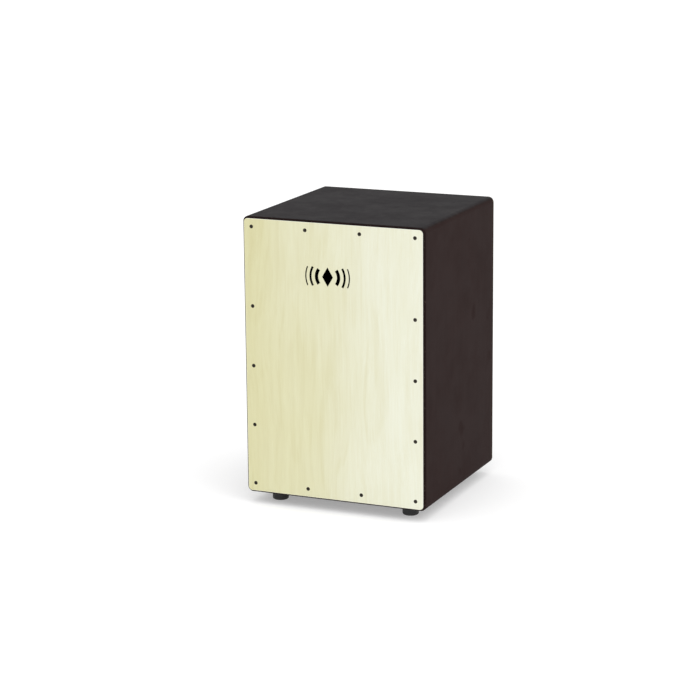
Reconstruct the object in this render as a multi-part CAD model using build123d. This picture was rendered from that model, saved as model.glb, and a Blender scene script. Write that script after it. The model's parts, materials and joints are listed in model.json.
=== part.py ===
from build123d import *
import os

# Cajon: a box drum of glued boards with a thin playing plate screwed to its front.
# Millimetres. +Z is up and -Y is the side the playing plate faces.
# The origin is on the floor, under the middle of the overall box.

# Boards
width = 300.0
shell_depth = 290.0
shell_height = 438.0
board = 9.0
edge_land = 0.3                 # flat left beside a rounded long edge
long_edge_radius = min(8.7, board - edge_land)
rim_radius = 2.0                # eased front rim

# Front and rear plates
front_plate_thickness = 3.0
front_plate_margin = 3.0        # rim left bare around the front plate
front_plate_corner = 6.0
plate_edge_radius = 0.5
rear_panel_thickness = 4.0
rear_edge_radius = 1.5
sound_hole_radius = 60.0
sound_hole_lip = 1.0
sound_hole_below_top = 153.0

# Battens that the plates are screwed to
batten = 13.0
side_screw_pitch = 94.3
side_screw_count = 3
row_screw_count = 4
rear_side_screw_count = 2

# Countersunk plate screws
plate_screw_head = 3.0
plate_screw_shank = 1.5
screw_tip_cover = 1.5           # wood left beyond a screw's point
screw_point = 2.5
recess_width = 0.8
recess_depth = 1.0

# Feet
foot_height = 18.0
foot_radius = 13.5
foot_taper = 0.7
foot_bottom_round = 3.0
foot_top_round = 0.5
foot_side_inset = 39.5
foot_end_inset = 36.6
foot_pad = 8.0                  # rubber between the washer and the board
foot_socket_radius = 6.5
foot_washer_radius = 6.0
foot_washer_thickness = 1.2
foot_screw_head = 4.0
foot_screw_head_height = 2.6
foot_screw_shank = 2.0
washer_slack = 0.2

# Snare rail, hung on two bolts below the top board
pivot_below_top = 106.0
pivot_behind_rim = 36.0
cheek_thickness = 18.0
cheek_height = 60.0
cheek_screw_head = 4.0
cheek_screw_shank = 2.0
cheek_screw_offset = 21.0
bolt_radius = 3.0
bolt_head_flats = 10.0
bolt_head_height = 4.0
bolt_pocket_depth = 5.0
bolt_pocket_radius = 6.4
bolt_spare_thread = 3.0
running_clearance = 0.05
face_gap = 0.1                  # between faces that turn on each other
friction_washer_radius = 8.0
friction_washer_thickness = 1.5
clamp_washer_radius = 6.0
clamp_washer_thickness = 1.2
rail_depth = 20.0
rail_height = 26.0
rail_edge_radius = 2.0
bracket_thickness = 2.0
bracket_width = 16.0
bracket_foot_length = 26.0
bracket_bend_radius = 1.5
bracket_screw_head = 3.0
bracket_screw_head_height = 1.8
bracket_screw_shank = 1.5
bracket_screw_length = 14.0
bracket_screw_insets = (8.0, 20.0)

# Wing nuts
nut_hub_radius = 6.0
nut_hub_tip_radius = 4.8
nut_hub_height = 7.0
wing_reach = 14.0
wing_height = 12.0
wing_thickness = 2.2
wing_corner = 1.6
wing_sweep_clearance = 6.0

# Snare wires
snare_offset = 70.0             # middle of each set from the middle of the box
strand_count = 12
strand_pitch = 3.4
strand_radius = 0.9
strand_gap = 0.4                # between the wires and the back of the front plate
strand_top_clearance = 9.0      # between the wire ends and the top batten
strand_first_run = 6.0
strand_lean_run = 50.0
strand_bend_radius = 20.0
clip_thickness = 1.2
clip_lip_depth = 3.4
clip_lip_height = 7.0
clip_height = 18.0
clip_side_margin = 2.5
clip_screw_length = 12.0

# Places that follow from the sizes
half_width = width / 2
inner_half = half_width - board
shell_bottom = foot_height
shell_top = foot_height + shell_height
shell_middle = foot_height + shell_height / 2
inner_bottom = shell_bottom + board
inner_top = shell_top - board
front_face = -(front_plate_thickness + shell_depth + rear_panel_thickness) / 2
front_rim = front_face + front_plate_thickness
rear_rim = front_rim + shell_depth
rear_face = rear_rim + rear_panel_thickness
screw_inset = board + batten / 2
batten_back = front_rim + batten

pivot_y = front_rim + pivot_behind_rim
pivot_z = shell_top - pivot_below_top
cheek_face = inner_half - cheek_thickness
ear_outer = cheek_face - friction_washer_thickness - face_gap
ear_inner = ear_outer - bracket_thickness
nut_base = ear_inner - clamp_washer_thickness - face_gap
bolt_tip = nut_base - nut_hub_height - bolt_spare_thread
rail_top = pivot_z - wing_reach - wing_sweep_clearance
rail_middle = rail_top - rail_height / 2
rail_front = pivot_y - rail_depth / 2
bore_radius = bolt_radius + running_clearance

RIGHT, LEFT = 1, -1


def block(x_range, y_range, z_range):
    """Box between three pairs of limits."""
    size = [high - low for low, high in (x_range, y_range, z_range)]
    middle = [(high + low) / 2 for low, high in (x_range, y_range, z_range)]
    return Pos(*middle) * Box(*size)


def turned(*corners):
    """Solid turned about Z from its (radius, height) corners."""
    return revolve(make_face(Plane.XZ * Polyline(*corners, close=True)), Axis.Z)


def facing(point, outward, shape):
    """A shape moved so that its origin is at point and its +Z looks outward."""
    return Plane(origin=point, z_dir=outward) * shape


def plate_outline(panel_width, panel_height, corner, y_low, y_high):
    """Upright plate with rounded corners, centred on the shell."""
    outline = Plane.XZ * RectangleRounded(panel_width, panel_height, corner)
    plate = extrude(outline, amount=(y_high - y_low) / 2, both=True)
    return Pos(0, (y_low + y_high) / 2, shell_middle) * plate


def edges_at(shape, y):
    """Edges that lie wholly in the plane at this y."""
    return shape.edges().filter_by_position(Axis.Y, y - 0.01, y + 0.01)


# ---------------------------------------------------------------- screws

def countersunk_blank(head, shank, length):
    """Flat-headed screw without its recess: head face at z = 0, point at -length."""
    return turned((0, 0), (head, 0), (shank, shank - head), (shank, screw_point - length), (0, -length))


def pan_blank(head, head_height, shank, length):
    """Pan-headed screw without its recess: the head stands on z = 0, the shank goes down."""
    crown = head * 0.55
    return turned((0, head_height), (crown, head_height), (head, head_height * 0.45), (head, 0),
                  (shank, 0), (shank, screw_point - length), (0, -length))


def cross_recess(span, top):
    """Two crossed slots, to be cut from a screw's head."""
    slot = Box(span, recess_width, recess_depth * 2)
    return Pos(0, 0, top) * (slot + Rot(0, 0, 90) * slot)


def front_screw_places():
    """Middles of the front plate's screws: two rows, and a column down each side."""
    row_half = half_width - screw_inset
    step = 2 * row_half / (row_screw_count - 1)
    rows = [shell_bottom + screw_inset, shell_top - screw_inset]
    places = [(-row_half + step * i, z) for z in rows for i in range(row_screw_count)]
    for i in range(1, side_screw_count + 1):
        places += [(side * row_half, rows[0] + side_screw_pitch * i) for side in (LEFT, RIGHT)]
    return [(x, front_face, z) for x, z in places]


def rear_screw_places():
    """Middles of the rear panel's screws, evenly spaced along each edge."""
    row_half = half_width - screw_inset
    column_half = shell_height / 2 - screw_inset
    step = 2 * row_half / (row_screw_count - 1)
    rise = 2 * column_half / (rear_side_screw_count + 1)
    places = [(-row_half + step * i, side * column_half) for side in (-1, 1) for i in range(row_screw_count)]
    for i in range(1, rear_side_screw_count + 1):
        places += [(side * row_half, -column_half + rise * i) for side in (LEFT, RIGHT)]
    return [(x, rear_face, shell_middle + z) for x, z in places]


def plate_screw_blanks(places, outward, plate_thickness):
    length = plate_thickness + batten - screw_tip_cover
    blank = countersunk_blank(plate_screw_head, plate_screw_shank, length)
    return [facing(place, outward, blank) for place in places]


def plate_screws(places, outward, plate_thickness):
    recess = cross_recess(plate_screw_head * 1.1, 0)
    blanks = plate_screw_blanks(places, outward, plate_thickness)
    return Compound([blank - facing(place, outward, recess) for blank, place in zip(blanks, places)])


front_blanks = plate_screw_blanks(front_screw_places(), (0, -1, 0), front_plate_thickness)
rear_blanks = plate_screw_blanks(rear_screw_places(), (0, 1, 0), rear_panel_thickness)


# ---------------------------------------------------------------- box of boards

def shell_tube():
    """The four boards as one ring, with rounded long edges and an eased front rim."""
    tube = plate_outline(width, shell_height, long_edge_radius, front_rim, rear_rim)
    tube = fillet(edges_at(tube, front_rim), rim_radius)
    return tube - block((-inner_half, inner_half), (front_rim - 1, rear_rim + 1), (inner_bottom, inner_top))


def foot_places():
    """Middles of the four feet, named by their corner."""
    x = half_width - foot_side_inset
    return {"front_left": (-x, front_rim + foot_end_inset), "front_right": (x, front_rim + foot_end_inset),
            "rear_left": (-x, rear_rim - foot_end_inset), "rear_right": (x, rear_rim - foot_end_inset)}


def foot_screw_blank(place):
    """A foot's screw: its head hangs under the washer and its shank goes up into the board."""
    length = foot_washer_thickness + foot_pad + board - screw_tip_cover
    blank = pan_blank(foot_screw_head, foot_screw_head_height, foot_screw_shank, length)
    return facing((*place, foot_height - foot_pad - foot_washer_thickness), (0, 0, -1), blank)


def top_panel(tube):
    return tube & block((-half_width, half_width), (front_rim, rear_rim), (inner_top, shell_top))


def bottom_panel(tube):
    panel = tube & block((-half_width, half_width), (front_rim, rear_rim), (shell_bottom, inner_bottom))
    for place in foot_places().values():
        panel -= foot_screw_blank(place)
    return panel


def side_panel(tube, side):
    x_range = sorted((side * inner_half, side * half_width))
    panel = tube & block(x_range, (front_rim, rear_rim), (inner_bottom, inner_top))
    for blank in cheek_screw_blanks(side):
        panel -= blank
    return panel


def frame_battens(y_range, blanks):
    """Four strips inside one end of the box, bored for the plate's screws."""
    low, high = inner_bottom + batten, inner_top - batten
    across = (-inner_half, inner_half)
    strips = {
        "top_batten": block(across, y_range, (high, inner_top)),
        "bottom_batten": block(across, y_range, (inner_bottom, low)),
        "left_batten": block((-inner_half, batten - inner_half), y_range, (low, high)),
        "right_batten": block((inner_half - batten, inner_half), y_range, (low, high)),
    }
    for name in strips:
        for blank in blanks:
            strips[name] -= blank
    return strips


def front_plate():
    plate = plate_outline(width - 2 * front_plate_margin, shell_height - 2 * front_plate_margin,
                          front_plate_corner, front_face, front_rim)
    plate = fillet(edges_at(plate, front_face), plate_edge_radius)
    for blank in front_blanks:
        plate -= blank
    return plate


def rear_panel():
    panel = plate_outline(width, shell_height, long_edge_radius, rear_rim, rear_face)
    panel = fillet(edges_at(panel, rear_face), rear_edge_radius)
    hole = Cylinder(sound_hole_radius, rear_panel_thickness * 3)
    panel -= facing((0, rear_rim, shell_top - sound_hole_below_top), (0, 1, 0), hole)
    lip = edges_at(panel, rear_face).filter_by(GeomType.CIRCLE)
    lip = lip.filter_by(lambda edge: abs(edge.radius - sound_hole_radius) < 0.01)
    panel = fillet(lip, sound_hole_lip)
    for blank in rear_blanks:
        panel -= blank
    return panel


def foot(place):
    """Tapered rubber foot, hollow below for its washer and screw head."""
    body = Cone(foot_radius - foot_taper, foot_radius, foot_height, align=(Align.CENTER, Align.CENTER, Align.MIN))
    body = fillet(body.edges().group_by(Axis.Z)[0], foot_bottom_round)
    body = fillet(body.edges().group_by(Axis.Z)[-1], foot_top_round)
    socket_depth = foot_height - foot_pad
    body -= Cylinder(foot_socket_radius, socket_depth, align=(Align.CENTER, Align.CENTER, Align.MIN))
    body -= Cylinder(foot_screw_shank, foot_height, align=(Align.CENTER, Align.CENTER, Align.MIN))
    return Pos(*place, 0) * body


def foot_washer(place):
    ring = Cylinder(foot_washer_radius, foot_washer_thickness) \
        - Cylinder(foot_screw_shank + washer_slack, foot_washer_thickness)
    return Pos(*place, foot_height - foot_pad - foot_washer_thickness / 2) * ring


def foot_screw(place):
    head_bottom = foot_height - foot_pad - foot_washer_thickness - foot_screw_head_height
    recess = facing((*place, head_bottom), (0, 0, -1), cross_recess(foot_screw_head, 0))
    return foot_screw_blank(place) - recess


# ---------------------------------------------------------------- snare rail and its bearings

def cheek_screw_blanks(side):
    """Two screws through a cheek into the side board."""
    blank = countersunk_blank(cheek_screw_head, cheek_screw_shank, cheek_thickness + board - screw_tip_cover)
    heights = (pivot_z - cheek_screw_offset, pivot_z + cheek_screw_offset)
    return [facing((side * cheek_face, pivot_y, z), (-side, 0, 0), blank) for z in heights]


def cheek_screws(side):
    recess = cross_recess(cheek_screw_head * 1.1, 0)
    heights = (pivot_z - cheek_screw_offset, pivot_z + cheek_screw_offset)
    return [blank - facing((side * cheek_face, pivot_y, z), (-side, 0, 0), recess)
            for blank, z in zip(cheek_screw_blanks(side), heights)]


def on_pivot(side, x, shape):
    """A shape set on the pivot axis with its +Z looking into the box."""
    return facing((side * x, pivot_y, pivot_z), (-side, 0, 0), shape)


def rail_cheek(side):
    """Wooden block behind the side batten that holds the pivot bolt."""
    back = 2 * pivot_y - batten_back
    cheek = block(sorted((side * cheek_face, side * inner_half)), (batten_back, back),
                  (pivot_z - cheek_height / 2, pivot_z + cheek_height / 2))
    cheek -= on_pivot(side, inner_half, Cylinder(bolt_pocket_radius, bolt_pocket_depth * 2))
    cheek -= on_pivot(side, inner_half, Cylinder(bolt_radius, cheek_thickness * 3))
    for blank in cheek_screw_blanks(side):
        cheek -= blank
    return cheek


def pivot_bolt(side):
    """Hexagon bolt: its head is in the cheek's pocket and its thread points into the box."""
    head_face = inner_half - bolt_pocket_depth
    length = head_face - bolt_tip
    shank = Cylinder(bolt_radius, length, align=(Align.CENTER, Align.CENTER, Align.MIN))
    shank = chamfer(shank.edges().group_by(Axis.Z)[-1], bolt_radius / 6)
    head = extrude(RegularPolygon(bolt_head_flats / 2, 6, major_radius=False), -bolt_head_height)
    return on_pivot(side, head_face, shank + head)


def washer(side, x, radius, thickness, bore):
    ring = Cylinder(radius, thickness) - Cylinder(bore, thickness)
    return on_pivot(side, x - thickness / 2, ring)


def wing():
    """One wing of a nut, standing out along +X in its own frame."""
    outline = Polyline((nut_hub_tip_radius - 1, 1), (nut_hub_radius + 1, 1), (wing_reach, wing_height * 0.55),
                       (wing_reach, wing_height), (wing_reach - 4, wing_height),
                       (nut_hub_tip_radius - 1, nut_hub_height - 0.5), close=True)
    face = make_face(Plane.XZ * outline)
    face = fillet(face.vertices().group_by(Axis.X)[-1], wing_corner)
    return extrude(face, amount=wing_thickness / 2, both=True)


def wing_nut(side):
    hub = Cone(nut_hub_radius, nut_hub_tip_radius, nut_hub_height, align=(Align.CENTER, Align.CENTER, Align.MIN))
    nut = hub + wing() + Rot(0, 0, 180) * wing()
    nut -= Cylinder(bore_radius, nut_hub_height * 4)
    return on_pivot(side, nut_base, nut)


def rail_bracket(side):
    """Steel angle: an ear on the pivot bolt, and a foot screwed to the top of the rail."""
    foot_end = ear_outer - bracket_foot_length
    y_range = (pivot_y - bracket_width / 2, pivot_y + bracket_width / 2)
    ear = block((ear_inner, ear_outer), y_range, (rail_top, pivot_z))
    ear += facing(((ear_inner + ear_outer) / 2, pivot_y, pivot_z), (1, 0, 0),
                  Cylinder(bracket_width / 2, bracket_thickness))
    plate = block((foot_end, ear_outer), y_range, (rail_top, rail_top + bracket_thickness))
    bracket = ear + plate
    bend = bracket.edges().filter_by(Axis.Y).sort_by_distance((ear_inner, pivot_y, rail_top + bracket_thickness))[0]
    bracket = fillet(bend, bracket_bend_radius)
    bracket -= facing((ear_outer, pivot_y, pivot_z), (1, 0, 0), Cylinder(bore_radius, bracket_thickness * 3))
    bracket = bracket if side == RIGHT else mirror(bracket, Plane.YZ)
    for blank in bracket_screw_blanks(side):
        bracket -= blank
    return bracket


def bracket_screw_places(side):
    return [(side * (ear_outer - inset), pivot_y, rail_top + bracket_thickness) for inset in bracket_screw_insets]


def bracket_screw_blanks(side):
    blank = pan_blank(bracket_screw_head, bracket_screw_head_height, bracket_screw_shank, bracket_screw_length)
    return [facing(place, (0, 0, 1), blank) for place in bracket_screw_places(side)]


def bracket_screws(side):
    recess = cross_recess(bracket_screw_head, bracket_screw_head_height)
    return [blank - facing(place, (0, 0, 1), recess)
            for blank, place in zip(bracket_screw_blanks(side), bracket_screw_places(side))]


def snare_rail():
    """Wooden bar with eased long edges, bored for the bracket and clip screws."""
    rail = block((-ear_outer, ear_outer), (rail_front, rail_front + rail_depth), (rail_top - rail_height, rail_top))
    rail = fillet(rail.edges().filter_by(Axis.X), rail_edge_radius)
    for side in (LEFT, RIGHT):
        for blank in bracket_screw_blanks(side) + clip_screw_blanks(side):
            rail -= blank
    return rail


# ---------------------------------------------------------------- snare wires

clip_width = (strand_count - 1) * strand_pitch + 2 * strand_radius + 2 * clip_side_margin
clip_top = rail_middle + clip_height / 2
clip_bottom = rail_middle - clip_height / 2


def clip_screw_places(side):
    """Two screws in the lower half of a clip."""
    x_offset = clip_width / 3
    z = clip_bottom + (clip_height - clip_lip_height) / 2
    return [(side * snare_offset + x, rail_front - clip_thickness, z) for x in (-x_offset, x_offset)]


def clip_screw_blanks(side):
    blank = pan_blank(bracket_screw_head, bracket_screw_head_height, bracket_screw_shank, clip_screw_length)
    return [facing(place, (0, -1, 0), blank) for place in clip_screw_places(side)]


def clip_screws(side):
    recess = cross_recess(bracket_screw_head, bracket_screw_head_height)
    return [blank - facing(place, (0, -1, 0), recess)
            for blank, place in zip(clip_screw_blanks(side), clip_screw_places(side))]


def snare_clip(side):
    """Folded steel plate that grips one set of wires along its top edge."""
    x_range = (side * snare_offset - clip_width / 2, side * snare_offset + clip_width / 2)
    clip = block(x_range, (rail_front - clip_thickness, rail_front), (clip_bottom, clip_top))
    clip += block(x_range, (rail_front - clip_lip_depth, rail_front - clip_thickness),
                  (clip_top - clip_lip_height, clip_top))
    for blank in clip_screw_blanks(side):
        clip -= blank
    return clip


def strand():
    """One wire set's strand: up from the clip, forward to the plate, then along its back."""
    start_y = rail_front - (clip_thickness + clip_lip_depth) / 2
    end_y = front_rim + strand_gap + strand_radius
    bend = clip_top + strand_first_run
    tip = inner_top - batten - strand_top_clearance
    path = FilletPolyline((0, start_y, clip_top), (0, start_y, bend), (0, end_y, bend + strand_lean_run),
                          (0, end_y, tip), radius=strand_bend_radius)
    section = Plane(origin=path @ 0, z_dir=path % 0) * Circle(strand_radius)
    return sweep(section, path)


def snare_strands(side):
    wire = strand()
    half = (strand_count - 1) / 2
    return Compound([Pos(side * snare_offset + (i - half) * strand_pitch, 0, 0) * wire
                     for i in range(strand_count)])


# ---------------------------------------------------------------- all nodes

def build_nodes():
    tube = shell_tube()
    nodes = {
        "top_panel": top_panel(tube),
        "bottom_panel": bottom_panel(tube),
        "left_side_panel": side_panel(tube, LEFT),
        "right_side_panel": side_panel(tube, RIGHT),
        "front_plate": front_plate(),
        "front_plate_screws": plate_screws(front_screw_places(), (0, -1, 0), front_plate_thickness),
        "rear_panel": rear_panel(),
        "rear_panel_screws": plate_screws(rear_screw_places(), (0, 1, 0), rear_panel_thickness),
        "snare_rail": snare_rail(),
    }
    for end, y_range, blanks in (("front", (front_rim, batten_back), front_blanks),
                                 ("rear", (rear_rim - batten, rear_rim), rear_blanks)):
        for name, strip in frame_battens(y_range, blanks).items():
            nodes[f"{end}_{name}"] = strip
    places = foot_places()
    for corner, place in places.items():
        nodes[f"{corner}_foot"] = foot(place)
    nodes["foot_washers"] = Compound([foot_washer(place) for place in places.values()])
    nodes["foot_screws"] = Compound([foot_screw(place) for place in places.values()])
    for name, side in (("left", LEFT), ("right", RIGHT)):
        nodes[f"{name}_rail_cheek"] = rail_cheek(side)
        nodes[f"{name}_rail_bracket"] = rail_bracket(side)
        nodes[f"{name}_wing_nut"] = wing_nut(side)
        nodes[f"{name}_snare_clip"] = snare_clip(side)
        nodes[f"{name}_snare_strands"] = snare_strands(side)
    both = (LEFT, RIGHT)
    nodes["rail_cheek_screws"] = Compound([screw for side in both for screw in cheek_screws(side)])
    nodes["rail_bracket_screws"] = Compound([screw for side in both for screw in bracket_screws(side)])
    nodes["snare_clip_screws"] = Compound([screw for side in both for screw in clip_screws(side)])
    nodes["pivot_bolts"] = Compound([pivot_bolt(side) for side in both])
    nodes["friction_washers"] = Compound([washer(side, cheek_face, friction_washer_radius,
                                                 friction_washer_thickness, bolt_radius) for side in both])
    nodes["clamp_washers"] = Compound([washer(side, ear_inner, clamp_washer_radius,
                                              clamp_washer_thickness, bore_radius) for side in both])
    return nodes


os.makedirs("parts", exist_ok=True)
for node_name, node_shape in build_nodes().items():
    export_step(node_shape, f"parts/{node_name}.step")
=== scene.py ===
import json
import math
import random

import bmesh
import bpy
from mathutils import Matrix, Vector


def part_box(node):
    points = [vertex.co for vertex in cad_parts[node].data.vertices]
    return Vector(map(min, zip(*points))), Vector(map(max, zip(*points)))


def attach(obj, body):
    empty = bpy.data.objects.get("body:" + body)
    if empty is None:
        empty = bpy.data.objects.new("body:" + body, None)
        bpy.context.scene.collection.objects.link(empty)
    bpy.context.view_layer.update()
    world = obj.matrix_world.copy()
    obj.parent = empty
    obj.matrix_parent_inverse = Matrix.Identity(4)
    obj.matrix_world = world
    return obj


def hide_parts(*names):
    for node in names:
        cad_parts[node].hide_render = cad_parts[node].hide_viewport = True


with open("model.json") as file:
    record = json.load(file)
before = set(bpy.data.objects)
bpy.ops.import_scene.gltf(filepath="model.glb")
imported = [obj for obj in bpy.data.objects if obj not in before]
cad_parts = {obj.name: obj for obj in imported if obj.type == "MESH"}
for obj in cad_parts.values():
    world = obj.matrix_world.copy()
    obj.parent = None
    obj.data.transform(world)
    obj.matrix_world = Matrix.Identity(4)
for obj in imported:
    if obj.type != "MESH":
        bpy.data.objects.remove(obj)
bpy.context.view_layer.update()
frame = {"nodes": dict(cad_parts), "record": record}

MM = 0.001

# ---------------------------------------------------------------- places, from the frame

nodes = frame["nodes"]
plate_low, plate_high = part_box("front_plate")
top_low, top_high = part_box("top_panel")
bottom_low, bottom_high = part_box("bottom_panel")
right_low, right_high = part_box("right_side_panel")
rear_low, rear_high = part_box("rear_panel")

HALF_WIDTH = right_high.x
INNER_HALF = right_low.x
BOX_LOW = Vector((-HALF_WIDTH, top_low.y, bottom_low.z))
BOX_HIGH = Vector((HALF_WIDTH, rear_high.y, top_high.z))


def middle_and_half(low, high):
    """Middle and half size of a box given by its lowest and highest corners."""
    return (low + high) / 2, (high - low) / 2


BOX_CENTRE, BOX_HALF = middle_and_half(BOX_LOW, BOX_HIGH)

sound_hole = next(m for m in frame["record"]["mounts"] if m["name"] == "sound_hole")
HOLE_CENTRE = Vector(sound_hole["pos_m"])
HOLE_RADIUS = sound_hole["dims"]["r_mm"] * MM


# ---------------------------------------------------------------- colours

PAINT = (0.0270, 0.0160, 0.0150)
PAINT_UP_REFLECTION = (0.0250, 0.0225, 0.0240)         # painted reflection: the up-facing top greyed as if it reflected the bright room
PAINT_WORN = (0.100, 0.066, 0.052)
PAINT_SPECULAR = 0.010

VENEER_LIGHT = (0.712, 0.730, 0.512)
VENEER_DARK = (0.645, 0.642, 0.402)
# painted highlight: the pale line along the plate's arrises, as if they caught the lamps
VENEER_ARRIS_HIGHLIGHT = (0.90, 0.90, 0.82)
# partly painted sheen: the plate's paling from left to right is half real sap colour and half the lamp's
# sheen painted in
HEART_AND_SHADE_TINT = (0.92, 0.87, 0.75)
SAP_AND_SHEEN_TINT = (1.08, 1.07, 1.29)

PLY_PALE = (0.66, 0.50, 0.31)
PLY_DARK = (0.42, 0.27, 0.14)
PLY_FIBRE = (0.30, 0.19, 0.10)
PLY_GLUE = (0.10, 0.055, 0.03)
FACE_PLY = (0.78, 0.70, 0.46)
FACE_PLY_CORE = (0.60, 0.47, 0.28)

PINE = (0.72, 0.53, 0.31)
PINE_LINE = (0.50, 0.30, 0.14)
BEECH = (0.60, 0.41, 0.25)
BEECH_LINE = (0.42, 0.25, 0.13)

DUST_COLOUR = (0.42, 0.39, 0.35)


# ---------------------------------------------------------------- shader wiring

class Wiring:
    """Places and joins shader nodes in one tree."""

    def __init__(self, tree):
        self.tree = tree

    def place(self, kind, **settings):
        node = self.tree.nodes.new(kind)
        for name, value in settings.items():
            setattr(node, name, value)
        return node

    def feed(self, socket, value):
        """Joins an output to a socket, or sets the socket to a plain value."""
        if isinstance(value, bpy.types.NodeSocket):
            self.tree.links.new(value, socket)
        elif isinstance(value, tuple) and len(value) == 3 and socket.type == "RGBA":
            socket.default_value = (*value, 1.0)
        else:
            socket.default_value = value

    def maths(self, operation, *values, clamp=False):
        """Arithmetic on numbers."""
        node = self.place("ShaderNodeMath", operation=operation, use_clamp=clamp)
        for socket, value in zip(node.inputs, values):
            self.feed(socket, value)
        return node.outputs[0]

    def times(self, first, second):
        return self.maths("MULTIPLY", first, second)

    def plus(self, first, second, clamp=False):
        return self.maths("ADD", first, second, clamp=clamp)

    def minus(self, first, second):
        return self.maths("SUBTRACT", first, second)

    def scaled(self, value, factor, rest):
        """value * factor + rest"""
        return self.maths("MULTIPLY_ADD", value, factor, rest)

    def rest_of(self, share):
        return self.maths("SUBTRACT", 1.0, share)

    def vector(self, operation, *values):
        """Arithmetic on vectors."""
        node = self.place("ShaderNodeVectorMath", operation=operation)
        for socket, value in zip(node.inputs, values):
            self.feed(socket, value)
        return node.outputs[0]

    def parts(self, vector):
        """The x, y and z of a vector."""
        node = self.place("ShaderNodeSeparateXYZ")
        self.feed(node.inputs[0], vector)
        return node.outputs[0], node.outputs[1], node.outputs[2]

    def join(self, x, y, z):
        """A vector from its x, y and z."""
        node = self.place("ShaderNodeCombineXYZ")
        for socket, value in zip(node.inputs, (x, y, z)):
            self.feed(socket, value)
        return node.outputs[0]

    def mix(self, share, first, second, blend="MIX"):
        """Colour mix: first at share 0, second at share 1."""
        node = self.place("ShaderNodeMix", data_type="RGBA", blend_type=blend, clamp_factor=True)
        self.feed(node.inputs[0], share)
        self.feed(node.inputs[6], first)
        self.feed(node.inputs[7], second)
        return node.outputs[2]

    def fade(self, share, first, second):
        """Number mix: first at share 0, second at share 1."""
        node = self.place("ShaderNodeMix", data_type="FLOAT", clamp_factor=True)
        self.feed(node.inputs[0], share)
        self.feed(node.inputs[2], first)
        self.feed(node.inputs[3], second)
        return node.outputs[0]

    def rise(self, value, low, high):
        """0 up to low, 1 from high, and smooth between them."""
        node = self.place("ShaderNodeMapRange", interpolation_type="SMOOTHSTEP")
        self.feed(node.inputs[0], value)
        self.feed(node.inputs[1], low)
        self.feed(node.inputs[2], high)
        return node.outputs[0]

    def stretch(self, vector, scale=(1, 1, 1), turn=(0, 0, 0), shift=(0, 0, 0)):
        """Coordinates scaled, then turned, then shifted. A small scale draws a pattern out that way."""
        node = self.place("ShaderNodeMapping")
        self.feed(node.inputs["Vector"], vector)
        node.inputs["Location"].default_value = shift
        node.inputs["Rotation"].default_value = turn
        node.inputs["Scale"].default_value = scale
        return node.outputs[0]

    def noise(self, vector, scale, detail=3.0, roughness=0.5):
        """Cloudy noise from 0 to 1, with about scale clouds to the metre."""
        node = self.place("ShaderNodeTexNoise")
        self.feed(node.inputs["Vector"], vector)
        self.feed(node.inputs["Scale"], scale)
        self.feed(node.inputs["Detail"], detail)
        self.feed(node.inputs["Roughness"], roughness)
        return node.outputs[0]

    def use(self, group, **values):
        """Places a node group and feeds the inputs named, with _ for a space."""
        node = self.place("ShaderNodeGroup", node_tree=group)
        for name, value in values.items():
            self.feed(node.inputs[name.replace("_", " ")], value)
        return node.outputs


KINDS = {"number": "NodeSocketFloat", "colour": "NodeSocketColor", "vector": "NodeSocketVector"}


def new_group(name, inputs, outputs):
    """An empty shader node group. Inputs and outputs are dicts of socket name to kind."""
    tree = bpy.data.node_groups.new(name, "ShaderNodeTree")
    for label, kind in inputs.items():
        tree.interface.new_socket(label, in_out="INPUT", socket_type=KINDS[kind])
    for label, kind in outputs.items():
        tree.interface.new_socket(label, in_out="OUTPUT", socket_type=KINDS[kind])
    w = Wiring(tree)
    entry = w.place("NodeGroupInput").outputs
    leave = w.place("NodeGroupOutput").inputs
    return tree, w, entry, leave


def box_edges_group():
    """Mask that is 1 along the edges of a box and fades inwards over Width, broken up by noise."""
    tree, w, entry, leave = new_group(
        "Box edges",
        {"Coordinates": "vector", "Centre": "vector", "Half size": "vector", "Width": "number",
         "Breakup": "number"},
        {"Mask": "number"})
    offset = w.vector("ABSOLUTE", w.vector("SUBTRACT", entry["Coordinates"], entry["Centre"]))
    x, y, z = w.parts(w.vector("SUBTRACT", entry["Half size"], offset))
    larger, smaller = w.maths("MAXIMUM", x, y), w.maths("MINIMUM", x, y)
    second_nearest = w.maths("MAXIMUM", smaller, w.maths("MINIMUM", larger, z))
    uneven = w.minus(w.noise(entry["Coordinates"], 90.0, 5.0, 0.65), 0.5)
    ragged = w.times(uneven, entry["Breakup"])
    reach = w.scaled(ragged, entry["Width"], second_nearest)
    w.feed(leave["Mask"], w.rest_of(w.rise(reach, 0.0, entry["Width"])))
    return tree


def inside_box_group():
    """Mask that is 1 inside a box given by its lowest and highest corners."""
    tree, w, entry, leave = new_group(
        "Inside box", {"Coordinates": "vector", "Low": "vector", "High": "vector"}, {"Mask": "number"})
    above = w.parts(w.vector("SUBTRACT", entry["Coordinates"], entry["Low"]))
    below = w.parts(w.vector("SUBTRACT", entry["High"], entry["Coordinates"]))
    depth = above[0]
    for margin in above[1:] + below:
        depth = w.maths("MINIMUM", depth, margin)
    w.feed(leave["Mask"], w.maths("GREATER_THAN", depth, 0.0))
    return tree


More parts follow.
